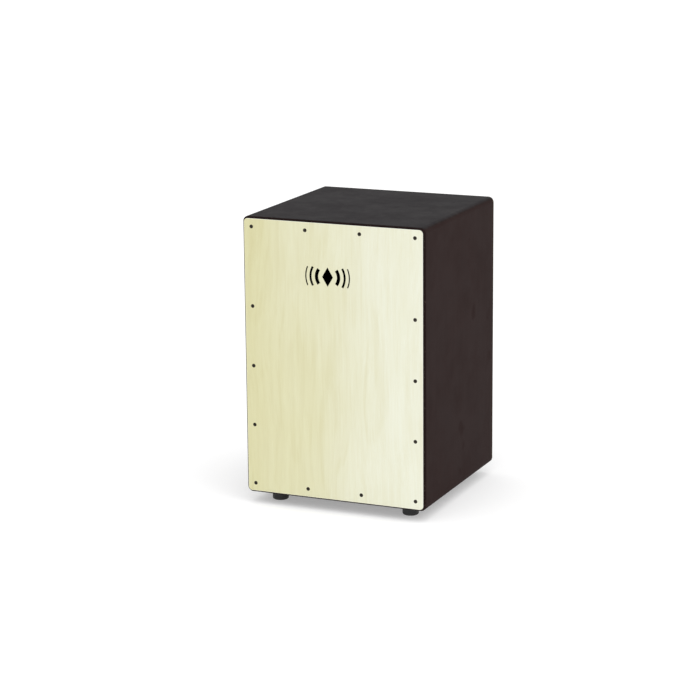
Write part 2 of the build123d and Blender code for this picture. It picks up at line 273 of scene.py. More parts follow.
def wood_grain_group():
    """Planed wood with its grain along Z: long fibres, broad figure, growth lines and pores."""
    tree, w, entry, leave = new_group(
        "Wood grain",
        {"Coordinates": "vector", "Light": "colour", "Dark": "colour", "Streaks": "number",
         "Figure": "number", "Rings": "number", "Pores": "number"},
        {"Color": "colour", "Tone": "number", "Height": "number"})
    place = entry["Coordinates"]
    warp = w.times(w.noise(w.stretch(place, (1, 1, 0.35)), 7.0, 2.0), 0.05)
    bent = w.vector("ADD", place, w.join(warp, warp, 0.0))
    fibres = w.noise(w.stretch(bent, (1, 1, 0.018)), 1100.0, 3.0, 0.6)
    streaks = w.noise(w.stretch(bent, (1, 1, 0.04)), entry["Streaks"], 5.0, 0.62)
    figure = w.noise(w.stretch(bent, (1, 1, 0.16)), 14.0, 2.0, 0.45)
    line = w.maths("SINE", w.times(figure, entry["Rings"]))
    rings = w.rise(w.times(line, streaks), 0.18, 0.62)
    sheen = w.noise(w.stretch(place, (1, 1, 0.45), turn=(0, 0.5, 0)), 26.0, 3.0, 0.5)
    pores = w.rise(w.noise(w.stretch(place, (1, 1, 0.055), shift=(3, 1, 2)), 620.0, 2.0, 0.55), 0.60, 0.72)
    pores = w.times(pores, entry["Pores"])
    broad = w.plus(w.minus(figure, 0.5), w.minus(sheen, 0.5))
    broad = w.times(broad, entry["Figure"])
    fine = w.plus(w.times(w.rise(fibres, 0.3, 0.7), 0.3), w.times(w.rise(streaks, 0.28, 0.72), 0.45))
    tone = w.plus(w.plus(fine, broad), w.times(rings, 0.25))
    tone = w.plus(tone, w.times(pores, 0.7), clamp=True)
    w.feed(leave["Color"], w.mix(tone, entry["Light"], entry["Dark"]))
    w.feed(leave["Tone"], tone)
    w.feed(leave["Height"], w.minus(w.times(fibres, 0.6), pores))
    return tree


def ply_layers_group():
    """The sawn edge of a three-ply sheet, read by Depth from 0 at its face to 1 at its back."""
    tree, w, entry, leave = new_group(
        "Ply layers", {"Coordinates": "vector", "Depth": "number", "Face": "colour", "Core": "colour"},
        {"Color": "colour", "Height": "number"})
    place = entry["Coordinates"]
    wobble = w.scaled(w.noise(place, 260.0, 2.0), 0.06, w.minus(entry["Depth"], 0.03))
    off_middle = w.maths("ABSOLUTE", w.minus(wobble, 0.5))
    core = w.rest_of(w.rise(off_middle, 0.25, 0.27))
    off_joint = w.maths("ABSOLUTE", w.minus(off_middle, 0.26))
    glue = w.rest_of(w.rise(off_joint, 0.008, 0.03))
    fibre = w.noise(place, 2400.0, 2.0)
    wood = w.mix(core, entry["Face"], entry["Core"])
    wood = w.mix(w.times(fibre, 0.45), wood, PLY_FIBRE)
    w.feed(leave["Color"], w.mix(w.times(glue, 0.75), wood, PLY_GLUE))
    w.feed(leave["Height"], w.minus(fibre, glue))
    return tree


def handling_group():
    """Marks of use: soft smudges, and hair scratches that run every way."""
    tree, w, entry, leave = new_group(
        "Handling marks", {"Coordinates": "vector", "Smudges": "number", "Scratches": "number"},
        {"Dulling": "number", "Height": "number"})
    place = entry["Coordinates"]
    smudges = w.rise(w.noise(place, 17.0, 4.0, 0.55), 0.35, 0.75)
    hairs = 0.0
    for number, angle in enumerate((0.35, 1.9, 2.75)):
        turned = w.stretch(place, (1, 0.02, 0.02), turn=(angle, angle * 0.7, angle),
                           shift=(number, 2 * number, 0))
        hair = w.rise(w.noise(turned, 900.0, 1.0, 0.4), 0.70, 0.76)
        hairs = w.maths("MAXIMUM", hairs, hair)
    patches = w.rise(w.noise(place, 31.0, 2.0), 0.5, 0.7)
    hairs = w.times(w.times(hairs, patches), entry["Scratches"])
    smudged = w.times(smudges, entry["Smudges"])
    w.feed(leave["Dulling"], w.plus(smudged, w.times(hairs, 0.3)))
    w.feed(leave["Height"], w.times(hairs, -1.0))
    return tree


def dust_group():
    """Pale dust where the surface looks up, thicker in patches."""
    tree, w, entry, leave = new_group(
        "Settled dust", {"Coordinates": "vector", "Normal": "vector", "Color": "colour", "Amount": "number"},
        {"Color": "colour", "Mask": "number"})
    up = w.rise(w.parts(entry["Normal"])[2], 0.35, 0.95)
    clumps = w.rise(w.noise(entry["Coordinates"], 55.0, 6.0, 0.7), 0.38, 0.8)
    specks = w.rise(w.noise(entry["Coordinates"], 900.0, 2.0, 0.5), 0.66, 0.74)
    mask = w.times(w.times(up, w.maths("MAXIMUM", clumps, specks)), entry["Amount"])
    w.feed(leave["Color"], w.mix(mask, entry["Color"], DUST_COLOUR))
    w.feed(leave["Mask"], mask)
    return tree


def lacquer_group():
    """Satin brown-black lacquer: cloudy, with painted reflection greying the top and painted shade darkening
    the edges' roundovers, chipped on arrises.
    """
    tree, w, entry, leave = new_group(
        "Brown-black lacquer",
        {"Coordinates": "vector", "Normal": "vector", "Grain": "number", "Grain height": "number",
         "Rim": "number"},
        {"Color": "colour", "Roughness": "number", "Height": "number"})
    place = entry["Coordinates"]
    box = {"Coordinates": place, "Centre": tuple(BOX_CENTRE), "Half_size": tuple(BOX_HALF)}
    # painted shade: a band along the box's edges is darkened in colour and made a little glossier
    rounded_edge_shade = w.use(BOX_EDGES, Width=5.0 * MM, Breakup=0.5, **box)["Mask"]
    arris_chips_and_highlight = w.maths("MAXIMUM", w.use(BOX_EDGES, Width=1.6 * MM, Breakup=2.0, **box)["Mask"], entry["Rim"])
    chips = w.times(arris_chips_and_highlight, w.rise(w.noise(place, 240.0, 4.0, 0.6), 0.62, 0.66))
    marks = w.use(HANDLING, Coordinates=place, Smudges=0.10, Scratches=0.6)
    # painted reflection: faces that look up are greyed, as if they reflected the bright room
    up = w.rise(w.parts(entry["Normal"])[2], 0.55, 0.98)
    cloudy = w.noise(place, 9.0, 3.0, 0.5)
    flecks = w.noise(place, 1300.0, 2.0, 0.5)
    tint_with_reflection = w.mix(up, PAINT, PAINT_UP_REFLECTION)
    shade = w.scaled(cloudy, 0.26, 0.84)
    shade = w.times(shade, w.scaled(flecks, 0.20, 0.90))
    shade = w.times(shade, w.scaled(entry["Grain"], -0.12, 1.05))
    shade = w.times(shade, w.scaled(rounded_edge_shade, -0.45, 1.0))
    paint = w.mix(1.0, tint_with_reflection, w.join(shade, shade, shade), blend="MULTIPLY")
    paint = w.mix(chips, paint, PAINT_WORN)
    dusty = w.use(DUST, Coordinates=place, Normal=entry["Normal"], Color=paint, Amount=0.030)
    rough = w.plus(w.scaled(cloudy, 0.06, 0.44), marks["Dulling"])
    peel = w.noise(place, 520.0, 2.0, 0.5)
    skin = w.scaled(entry["Grain height"], 0.30, w.times(peel, 0.5))
    height = w.plus(skin, w.minus(marks["Height"], chips))
    w.feed(leave["Color"], dusty["Color"])
    w.feed(leave["Roughness"], w.minus(rough, w.times(rounded_edge_shade, 0.06)))
    w.feed(leave["Height"], height)
    return tree


BOX_EDGES = box_edges_group()
INSIDE_BOX = inside_box_group()
WOOD_GRAIN = wood_grain_group()
PLY_LAYERS = ply_layers_group()
HANDLING = handling_group()
DUST = dust_group()
LACQUER = lacquer_group()


# ---------------------------------------------------------------- finishes

GRAIN_UP = (0, 0, 0)
GRAIN_ACROSS = (0, math.pi / 2, 0)          # turns X onto the grain
SKIN = 0.3 * MM                             # how far bare board reaches past the box's inner faces


def finish_of(name, **settings):
    """A new material, its wiring, its Principled shader and its object coordinates."""
    made = bpy.data.materials.new(name)
    made.use_nodes = True
    shader = made.node_tree.nodes["Principled BSDF"]
    for label, value in settings.items():
        shader.inputs[label.replace("_", " ")].default_value = value
    w = Wiring(made.node_tree)
    place = w.place("ShaderNodeTexCoord").outputs["Object"]
    return made, w, shader.inputs, place


def emboss(w, shader, height, depth):
    """Feeds a height, in metres at full scale, to the shader's normal."""
    bump = w.place("ShaderNodeBump")
    bump.inputs["Distance"].default_value = depth
    w.feed(bump.inputs["Height"], height)
    w.feed(shader["Normal"], bump.outputs[0])


def painted_board(name, grain):
    """Satin brown-black lacquer outside, bare board inside the box."""
    made, w, shader, place = finish_of(name, Specular_IOR_Level=PAINT_SPECULAR)
    grained = w.stretch(place, turn=grain)
    bare = w.use(INSIDE_BOX, Coordinates=place,
                 Low=(-INNER_HALF - SKIN, BOX_LOW.y - SKIN, bottom_high.z - SKIN),
                 High=(INNER_HALF + SKIN, rear_low.y + SKIN, top_low.z + SKIN))["Mask"]
    wood = w.use(WOOD_GRAIN, Coordinates=grained, Light=PLY_PALE, Dark=PLY_DARK, Streaks=190.0, Figure=0.9,
                 Rings=70.0, Pores=0.5)
    normal = w.place("ShaderNodeNewGeometry").outputs["Normal"]
    paint = w.use(LACQUER, Coordinates=place, Normal=normal, Grain=wood["Tone"], Grain_height=wood["Height"])
    w.feed(shader["Base Color"], w.mix(bare, paint["Color"], wood["Color"]))
    w.feed(shader["Roughness"], w.fade(bare, paint["Roughness"], 0.72))
    emboss(w, shader, w.fade(bare, paint["Height"], w.times(wood["Height"], 2.0)), 0.05 * MM)
    return made


def rear_board(name):
    """The back sheet: lacquered outside, bare inside, and its plies showing round the sound hole."""
    made, w, shader, place = finish_of(name, Specular_IOR_Level=PAINT_SPECULAR)
    x, _, z = w.parts(w.vector("SUBTRACT", place, tuple(HOLE_CENTRE)))
    from_hole = w.maths("SQRT", w.plus(w.times(x, x), w.times(z, z)))
    ragged = w.scaled(w.noise(place, 420.0, 3.0), 0.5 * MM, from_hole)
    sawn = w.maths("LESS_THAN", ragged, HOLE_RADIUS + 0.75 * MM)
    from_outside = w.minus(rear_high.y, w.parts(place)[1])
    depth = w.maths("DIVIDE", from_outside, rear_high.y - rear_low.y)
    inner = w.maths("GREATER_THAN", depth, 0.97)
    wood = w.use(WOOD_GRAIN, Coordinates=place, Light=PLY_PALE, Dark=PLY_DARK, Streaks=170.0, Figure=0.9,
                 Rings=60.0, Pores=0.5)
    plies = w.use(PLY_LAYERS, Coordinates=place, Depth=depth, Face=PLY_PALE, Core=PLY_DARK)
    rim = w.rest_of(w.rise(ragged, HOLE_RADIUS + 0.8 * MM, HOLE_RADIUS + 2.4 * MM))
    normal = w.place("ShaderNodeNewGeometry").outputs["Normal"]
    paint = w.use(LACQUER, Coordinates=place, Normal=normal, Grain=wood["Tone"],
                  Grain_height=wood["Height"], Rim=rim)
    colour = w.mix(inner, paint["Color"], wood["Color"])
    colour = w.mix(sawn, colour, plies["Color"])
    bare = w.maths("MAXIMUM", inner, sawn)
    w.feed(shader["Base Color"], colour)
    w.feed(shader["Roughness"], w.fade(bare, paint["Roughness"], 0.74))
    bare_height = w.times(w.fade(sawn, wood["Height"], plies["Height"]), 2.0)
    emboss(w, shader, w.fade(bare, paint["Height"], bare_height), 0.05 * MM)
    return made


def face_veneer(name):
    """Very pale close-grained veneer under thin satin lacquer, with a painted highlight along its arrises and
    a painted sheen paling its right side. Its sawn edges are stained dark.
    """
    made, w, shader, place = finish_of(name, IOR=1.5, Coat_Roughness=0.28, Coat_IOR=1.45)
    grain = w.use(WOOD_GRAIN, Coordinates=place, Light=VENEER_LIGHT, Dark=VENEER_DARK, Streaks=150.0,
                  Figure=0.30, Rings=46.0, Pores=0.16)
    across = w.maths("DIVIDE", w.parts(place)[0], plate_high.x)
    broad = w.noise(w.stretch(place, (1, 1, 0.3), turn=(0, -0.35, 0)), 12.0, 3.0, 0.55)
    drift = w.scaled(broad, 1.2, w.minus(across, 0.6))
    # partly painted sheen: the right side paled and greyed, half as sap colour and half as the lamp's sheen
    sapwood_and_sheen = w.rise(drift, -1.1, 1.1)
    veneer = w.mix(1.0, grain["Color"], w.mix(sapwood_and_sheen, HEART_AND_SHADE_TINT, SAP_AND_SHEEN_TINT), blend="MULTIPLY")
    from_outside = w.minus(w.parts(place)[1], plate_low.y)
    depth = w.maths("DIVIDE", from_outside, plate_high.y - plate_low.y)
    plies = w.use(PLY_LAYERS, Coordinates=place, Depth=depth, Face=FACE_PLY, Core=FACE_PLY_CORE)
    centre, half = middle_and_half(plate_low, plate_high)
    arris_chips_and_highlight = w.use(BOX_EDGES, Coordinates=place, Centre=tuple(centre), Half_size=tuple(half),
                  Width=1.1 * MM, Breakup=0.4)["Mask"]
    beyond_face = w.rise(depth, 0.10, 0.14)
    before_back = w.maths("LESS_THAN", depth, 0.985)
    sawn = w.times(beyond_face, before_back)
    marks = w.use(HANDLING, Coordinates=place, Smudges=0.08, Scratches=0.35)
    # painted highlight: the plate's arrises paled, as if they caught the lamps
    colour = w.mix(w.times(arris_chips_and_highlight, 0.6), veneer, VENEER_ARRIS_HIGHLIGHT)
    stain = w.rise(w.noise(place, 210.0, 4.0, 0.6), 0.22, 0.34)
    sealed = w.mix(stain, plies["Color"], tuple(c * 0.5 for c in PAINT))
    w.feed(shader["Base Color"], w.mix(sawn, colour, sealed))
    satin = w.plus(w.scaled(grain["Tone"], 0.08, 0.36), marks["Dulling"])
    w.feed(shader["Roughness"], w.fade(sawn, satin, 0.7))
    w.feed(shader["Coat Weight"], w.fade(sawn, 0.22, 0.0))
    veneer_height = w.plus(grain["Height"], marks["Height"])
    height = w.fade(sawn, veneer_height, w.times(plies["Height"], 2.0))
    emboss(w, shader, height, 0.035 * MM)
    return made


def planed_wood(name, node, light, dark, turn, streaks, rings, pores):
    """Bare planed wood for a node, with fuzzy, slightly darkened arrises."""
    made, w, shader, place = finish_of(name, IOR=1.5)
    centre, half = middle_and_half(*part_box(node))
    grain = w.use(WOOD_GRAIN, Coordinates=w.stretch(place, turn=turn), Light=light, Dark=dark,
                  Streaks=streaks, Figure=1.1, Rings=rings, Pores=pores)
    edge = w.use(BOX_EDGES, Coordinates=place, Centre=tuple(centre), Half_size=tuple(half), Width=1.2 * MM,
                 Breakup=1.6)["Mask"]
    normal = w.place("ShaderNodeNewGeometry").outputs["Normal"]
    colour = w.mix(w.times(edge, 0.35), grain["Color"], tuple(c * 0.6 for c in dark))
    dusty = w.use(DUST, Coordinates=place, Normal=normal, Color=colour, Amount=0.25)
    w.feed(shader["Base Color"], dusty["Color"])
    w.feed(shader["Roughness"], w.scaled(grain["Tone"], 0.12, 0.66))
    emboss(w, shader, grain["Height"], 0.12 * MM)
    return made


def plated_steel(name, colour, dull, rough, brushed=(1, 1, 1)):
    """Plated steel: cloudy plating, fine lines drawn out by brushed, dull where it has tarnished."""
    made, w, shader, place = finish_of(name, Metallic=1.0)
    cloudy = w.noise(place, 160.0, 4.0, 0.6)
    drawn = w.noise(w.stretch(place, brushed), 2600.0, 2.0, 0.5)
    tarnish = w.rise(w.noise(place, 70.0, 5.0, 0.65), 0.55, 0.8)
    bright = w.mix(cloudy, tuple(c * 0.88 for c in colour), tuple(c * 1.08 for c in colour))
    w.feed(shader["Base Color"], w.mix(w.times(tarnish, 0.45), bright, dull))
    lined = w.scaled(drawn, 0.10, rough)
    w.feed(shader["Roughness"], w.scaled(tarnish, 0.22, lined))
    emboss(w, shader, w.scaled(cloudy, 0.6, drawn), 0.006 * MM)
    return made


def black_oxide(name):
    """Blackened steel, rubbed brighter on the rims of its driver slots."""
    made, w, shader, place = finish_of(name, Metallic=0.85)
    cloudy = w.noise(place, 900.0, 4.0, 0.6)
    rubbed = w.rise(w.noise(place, 420.0, 3.0, 0.55), 0.56, 0.72)
    black = w.mix(cloudy, (0.020, 0.017, 0.014), (0.050, 0.043, 0.036))
    w.feed(shader["Base Color"], w.mix(w.times(rubbed, 0.45), black, (0.19, 0.17, 0.14)))
    w.feed(shader["Roughness"], w.scaled(cloudy, 0.25, 0.30))
    emboss(w, shader, cloudy, 0.01 * MM)
    return made


def moulded_rubber(name):
    """Black moulded rubber: fine matt texture, grey bloom, and floor dust near its sole."""
    made, w, shader, place = finish_of(name, IOR=1.52)
    grit = w.noise(place, 1500.0, 3.0, 0.6)
    bloom = w.rise(w.noise(place, 90.0, 5.0, 0.65), 0.42, 0.8)
    low = w.rest_of(w.rise(w.parts(place)[2], 0.3 * MM, 4.0 * MM))
    dirt = w.times(low, w.rise(w.noise(place, 260.0, 5.0, 0.7), 0.35, 0.7))
    black = w.mix(w.times(bloom, 0.6), (0.010, 0.010, 0.0105), (0.030, 0.030, 0.031))
    w.feed(shader["Base Color"], w.mix(w.times(dirt, 0.35), black, (0.17, 0.155, 0.14)))
    w.feed(shader["Roughness"], w.scaled(bloom, 0.18, 0.52))
    emboss(w, shader, grit, 0.02 * MM)
    return made


def pressed_fibre(name):
    """Red-brown pressed fibre with short pale hairs."""
    made, w, shader, place = finish_of(name)
    hairs = w.rise(w.noise(w.stretch(place, (1, 0.15, 1)), 2200.0, 3.0, 0.6), 0.55, 0.7)
    cloudy = w.noise(place, 300.0, 4.0, 0.6)
    body = w.mix(cloudy, (0.16, 0.045, 0.025), (0.27, 0.085, 0.045))
    w.feed(shader["Base Color"], w.mix(w.times(hairs, 0.35), body, (0.45, 0.24, 0.16)))
    w.feed(shader["Roughness"], w.scaled(cloudy, 0.15, 0.7))
    emboss(w, shader, hairs, 0.03 * MM)
    return made


def dried_glue(name):
    """Amber wood glue, clouded where it is thick."""
    made, w, shader, place = finish_of(name, IOR=1.48)
    cloudy = w.noise(place, 210.0, 3.0, 0.6)
    w.feed(shader["Base Color"], w.mix(cloudy, (0.50, 0.30, 0.11), (0.78, 0.62, 0.36)))
    w.feed(shader["Roughness"], w.scaled(cloudy, 0.25, 0.22))
    emboss(w, shader, cloudy, 0.05 * MM)
    return made


def screen_ink(name):
    """Black screen-printed ink, a little uneven."""
    made, w, shader, place = finish_of(name)
    uneven = w.noise(place, 700.0, 3.0, 0.6)
    w.feed(shader["Base Color"], w.mix(uneven, (0.006, 0.006, 0.006), (0.016, 0.015, 0.015)))
    w.feed(shader["Roughness"], w.scaled(uneven, 0.2, 0.35))
    emboss(w, shader, uneven, 0.01 * MM)
    return made


def dress(material, *names):
    """Puts a material on every slot of the CAD nodes named."""
    for name in names:
        slots = nodes[name].data.materials
        slots.clear()
        slots.append(material)


# ---------------------------------------------------------------- shapes

ORIGIN = (0, 0, 0)
ACROSS = (1, 0, 0)
UP = (0, 0, 1)
BODY_OF = {node: body for body, members in frame["record"]["behaviour"]["bodies"].items() for node in members}
SHARP = math.radians(34)                    # edges that turn more than this are shaded sharp
SQUARE = math.radians(50)                   # and more than this are arrises
FLAT = math.radians(0.5)                    # faces that turn less than this are one face
WELD = 0.0005 * MM                          # verts closer than this are one vert


def eased(corners, steps=4):
    """Points of an outline given by its (across, up, easing) corners, each eased one turned into an arc."""
    points = []
    for number, (across, up, radius) in enumerate(corners):
        corner = Vector((across, up))
        if radius == 0:
            points.append(corner)
            continue
        back = (Vector(corners[number - 1][:2]) - corner).normalized()
        on = (Vector(corners[(number + 1) % len(corners)][:2]) - corner).normalized()
        half = back.angle(on) / 2
        centre = corner + (back + on).normalized() * radius / math.sin(half)
        first = corner + back * radius / math.tan(half) - centre
        last = corner + on * radius / math.tan(half) - centre
        turns = [first.normalized().slerp(last.normalized(), step / steps) for step in range(steps + 1)]
        points += [centre + turn * radius for turn in turns]
    return points


def spun(corners, steps=40, ring=False):
    """A solid turned about Z. Its outline starts and ends on the axis, or is closed for a ring."""
    shape = bmesh.new()
    verts = [shape.verts.new((across, 0, up)) for across, up in eased(corners)]
    edges = [shape.edges.new(pair) for pair in zip(verts, verts[1:])]
    if ring:
        edges.append(shape.edges.new((verts[-1], verts[0])))
    bmesh.ops.spin(shape, geom=verts + edges, axis=UP, cent=ORIGIN, angle=math.tau, steps=steps,
                   use_merge=True)
    bmesh.ops.remove_doubles(shape, verts=shape.verts[:], dist=WELD)
    bmesh.ops.recalc_face_normals(shape, faces=shape.faces[:])
    return shape


def wound(section_radius, sides, radius, pitch, turns, steps):
    """A closed wire of few sides, wound about Z from z = 0 in whole turns."""
    shape = bmesh.new()
    section = bmesh.ops.create_circle(shape, segments=sides, radius=section_radius)["verts"]
    bmesh.ops.rotate(shape, verts=section, matrix=Matrix.Rotation(math.pi / 2, 3, "X"))
    bmesh.ops.translate(shape, verts=section, vec=(radius, 0, 0))
    bmesh.ops.spin(shape, geom=shape.verts[:] + shape.edges[:], axis=UP, cent=ORIGIN,
                   dvec=(0, 0, pitch / steps), angle=math.tau, steps=steps)
    turn = bpy.data.meshes.new("turn")
    shape.to_mesh(turn)
    for _ in range(turns - 1):
        turn.transform(Matrix.Translation((0, 0, pitch)))
        shape.from_mesh(turn)
    bpy.data.meshes.remove(turn)
    bmesh.ops.remove_doubles(shape, verts=shape.verts[:], dist=WELD)
    bmesh.ops.holes_fill(shape, edges=[edge for edge in shape.edges if edge.is_boundary], sides=sides)
    bmesh.ops.recalc_face_normals(shape, faces=shape.faces[:])
    return shape


def set_at(shape, point, outward):
    """Moves a shape so that its origin is at a point and its +Z looks outward."""
    turn = Vector(outward).to_track_quat("Z", "Y").to_matrix().to_4x4()
    bmesh.ops.transform(shape, matrix=Matrix.Translation(point) @ turn, verts=shape.verts)
    return shape


def mesh_of(shape, name):
    """A mesh from a bmesh, which is used up."""
    mesh = bpy.data.meshes.new(name)
    shape.to_mesh(mesh)
    shape.free()
    return mesh


def shown(name, data):
    """A new object in the scene."""
    made = bpy.data.objects.new(name, data)
    bpy.context.scene.collection.objects.link(made)
    return made


def together(shapes):
    """One bmesh that holds several, which are used up."""
    whole = bmesh.new()
    for shape in shapes:
        part = mesh_of(shape, "part")
        whole.from_mesh(part)
        bpy.data.meshes.remove(part)
    return whole


def merged(node):
    """A CAD node's shape with its loose triangles joined and its flat faces whole."""
    shape = bmesh.new()
    shape.from_mesh(nodes[node].data)
    bmesh.ops.remove_doubles(shape, verts=shape.verts[:], dist=2 * WELD)
    bmesh.ops.dissolve_limit(shape, angle_limit=FLAT, verts=shape.verts[:], edges=shape.edges[:])
    return shape


def broken_arrises(shape, width, shortest):
    """Bevels the square outer edges of a shape that are longer than the shortest."""
    arrises = [edge for edge in shape.edges
               if edge.is_manifold and edge.is_convex and edge.calc_face_angle() > SQUARE
               and edge.calc_length() > shortest]
    bmesh.ops.bevel(shape, geom=arrises, offset=width, affect="EDGES", segments=2, profile=0.5,
                    material=-1, clamp_overlap=True)
    return shape


def piece_from(shape, name, material, body, replaced=()):
    """A new object from a finished bmesh, riding on a body and standing for the nodes it replaces."""
    for face in shape.faces:
        face.smooth = True
    for edge in shape.edges:
        edge.smooth = not edge.is_manifold or edge.calc_face_angle() < SHARP
    mesh = mesh_of(shape, name)
    mesh.materials.append(material)
    made = shown(name, mesh)
    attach(made, body)
    if replaced:
        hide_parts(*replaced)


# ---------------------------------------------------------------- feet

FOOT_CORNERS = ("front_left", "front_right", "rear_left", "rear_right")
FOOT_STEPS = 64
FOOT_HOLE = 2.1 * MM                        # radius round the screw
FOOT_SOCKET = 6.5 * MM                      # radius round the washer
SOCKET_FLARE = 0.8 * MM
FLARE_DEPTH = 1.4 * MM
GROOVES = (8.2 * MM, 9.5 * MM)              # inner radii of the grooves between the sole's ribs
GROOVE_WIDTH = 0.8 * MM
GROOVE_DEPTH = 0.6 * MM
GROOVE_DRAFT = 0.2 * MM
SOLE_INSET = 0.9 * MM
SOLE_EASING = 2.3 * MM
PARTING_LEVEL = 0.62                        # share of the foot's height
PARTING_HALF = 0.25 * MM
COLLAR_HEIGHT = 1.5 * MM
COLLAR_FOOT = 2.0 * MM
MOULD_EASING = 0.1 * MM


def rubber_foot(corner, rubber):
    """Moulded foot: tapered wall with a parting line, ribbed sole, and a socket for the screw head."""
    node = f"{corner}_foot"
    low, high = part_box(node)
    washer_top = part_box("foot_washers")[1].z
    radius, height = (high.x - low.x) / 2, high.z
    line = height * PARTING_LEVEL
    outline = [(FOOT_HOLE, height, 0), (FOOT_HOLE, washer_top, 0),
               (FOOT_SOCKET, washer_top, 0.4 * MM), (FOOT_SOCKET, FLARE_DEPTH, 0.3 * MM),
               (FOOT_SOCKET + SOCKET_FLARE, 0, 0.2 * MM)]
    for near in GROOVES:
        far = near + GROOVE_WIDTH
        outline += [(near, 0, MOULD_EASING), (near + GROOVE_DRAFT, GROOVE_DEPTH, MOULD_EASING),
                    (far - GROOVE_DRAFT, GROOVE_DEPTH, MOULD_EASING), (far, 0, MOULD_EASING)]
    outline += [(radius - SOLE_INSET, 0, SOLE_EASING),
                (radius - 0.42 * MM, line - PARTING_HALF, MOULD_EASING),
                (radius - 0.22 * MM, line, MOULD_EASING),
                (radius - 0.36 * MM, line + PARTING_HALF, MOULD_EASING),
                (radius - 0.30 * MM, height - COLLAR_FOOT, 0.3 * MM),
                (radius, height - COLLAR_HEIGHT, 0.25 * MM),
                (radius, height, 0.35 * MM)]
    shape = spun(outline, FOOT_STEPS, ring=True)
    middle = (low + high) / 2
    bmesh.ops.translate(shape, verts=shape.verts, vec=(middle.x, middle.y, 0))
    piece_from(shape, f"{corner}_rubber_foot", rubber, BODY_OF[node], [node])


# ---------------------------------------------------------------- snare wires

STRANDS = 12
STRAND_RADIUS = 0.9 * MM
WIRE_RADIUS = 0.19 * MM
WIRE_SIDES = 4
COIL_CLEARANCE = 0.02 * MM                  # inside the strand's own radius
COIL_RADIUS = STRAND_RADIUS - WIRE_RADIUS - COIL_CLEARANCE
COIL_PITCH = 1.05 * MM
COIL_STEPS = 8
FIRST_RUN = 6 * MM                          # straight up from the clip
LEAN_RUN = 50 * MM                          # the height over which it leans to the plate
STRAND_BEND = 20 * MM
BEND_STEPS = 12
BEAD_RADIUS = 1.35 * MM
BEAD_HEIGHTS = (0.9 * MM, 1.5 * MM)
BEAD_STRETCH = (0.9, 1.1)
BEAD_SHOULDER = 1.05 * MM
BEAD_SHOULDER_LEVEL = 0.7                   # share of the bead's height
BEAD_EASING = 0.25 * MM
BEAD_FLATNESS = 0.78
BEAD_SINK = 0.05 * MM
BEAD_STEPS = 14


def strand_route(low, high):
    """Middle line (y, z) of a strand: up from the clip, over to the plate and up along its back."""
    start, end = high.y - STRAND_RADIUS, low.y + STRAND_RADIUS
    bend = low.z + FIRST_RUN
    return eased([(start, low.z, 0), (start, bend, STRAND_BEND), (end, bend + LEAN_RUN, STRAND_BEND),
                  (end, high.z, 0)], BEND_STEPS)


def strand_places(low, high):
    """Place across of each strand in a set."""
    first, last = low.x + STRAND_RADIUS, high.x - STRAND_RADIUS
    return [first + (last - first) * number / (STRANDS - 1) for number in range(STRANDS)]


def bent_along(shape, route, x):
    """Bends a shape that stands on Z so that it follows a route in the plane at x."""
    runs = [(second - first).length for first, second in zip(route, route[1:])]
    for vert in shape.verts:
        along, run = vert.co.z, 0
        while along > runs[run] and run < len(runs) - 1:
            along -= runs[run]
            run += 1
        way = (route[run + 1] - route[run]).normalized()
        across = Vector((way.y, -way.x))
        place = route[run] + way * along + across * vert.co.y
        vert.co = (x + vert.co.x, place.x, place.y)


def coiled_strands(side, steel, chance):
    """A set of spiral-wound snare wires, each coil bent to the strand's route."""
    node = f"{side}_snare_strands"
    low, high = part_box(node)
    route = strand_route(low, high)
    length = sum((second - first).length for first, second in zip(route, route[1:])) - WIRE_RADIUS
    turns = round(length / COIL_PITCH)
    straight = wound(WIRE_RADIUS, WIRE_SIDES, COIL_RADIUS, length / turns, turns, COIL_STEPS)
    coils = []
    for x in strand_places(low, high):
        coil = straight.copy()
        turn = Matrix.Rotation(chance.uniform(0, math.tau), 3, "Z")
        bmesh.ops.rotate(coil, verts=coil.verts, matrix=turn)
        bent_along(coil, route, x)
        coils.append(coil)
    straight.free()
    piece_from(together(coils), f"{side}_snare_coils", steel, BODY_OF[node], [node])


def solder_row(side, tin, chance):
    """A bead of solder where each wire enters its clip."""
    low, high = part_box(f"{side}_snare_strands")
    beads = []
    for x in strand_places(low, high):
        height = chance.uniform(*BEAD_HEIGHTS)
        shoulder = height * BEAD_SHOULDER_LEVEL
        bead = spun([(0, 0, 0), (BEAD_RADIUS, 0, 0), (BEAD_SHOULDER, shoulder, BEAD_EASING),
                     (0, height, 0)], BEAD_STEPS)
        stretch = chance.uniform(*BEAD_STRETCH)
        bmesh.ops.scale(bead, verts=bead.verts, vec=(stretch, BEAD_FLATNESS, 1))
        bmesh.ops.translate(bead, verts=bead.verts, vec=(x, high.y - STRAND_RADIUS, low.z - BEAD_SINK))
        beads.append(bead)
    piece_from(together(beads), f"{side}_clip_solder", tin, BODY_OF[f"{side}_snare_clip"])


# ---------------------------------------------------------------- bearing hardware

WASHER_STEPS = 48


def ring_outline(bore, radius, thickness, easing):
    """Outline of a flat ring with all four rims eased."""
    return [(bore, 0, easing), (radius, 0, easing), (radius, thickness, easing), (bore, thickness, easing)]


def washers(node, material, outward, bore, easing):
    """Stamped washers with eased rims, one at each place where the node has one."""
    shape = merged(node)
    rings = []
    for island in islands(shape):
        middle, half = middle_and_half(*corners_of(island))
        thickness = 2 * min(half)
        ring = spun(ring_outline(bore, max(half), thickness, easing), WASHER_STEPS, ring=True)
        rings.append(set_at(ring, middle - Vector(outward) * thickness / 2, outward))
    shape.free()
    piece_from(together(rings), f"{node}_eased", material, BODY_OF[node], [node])


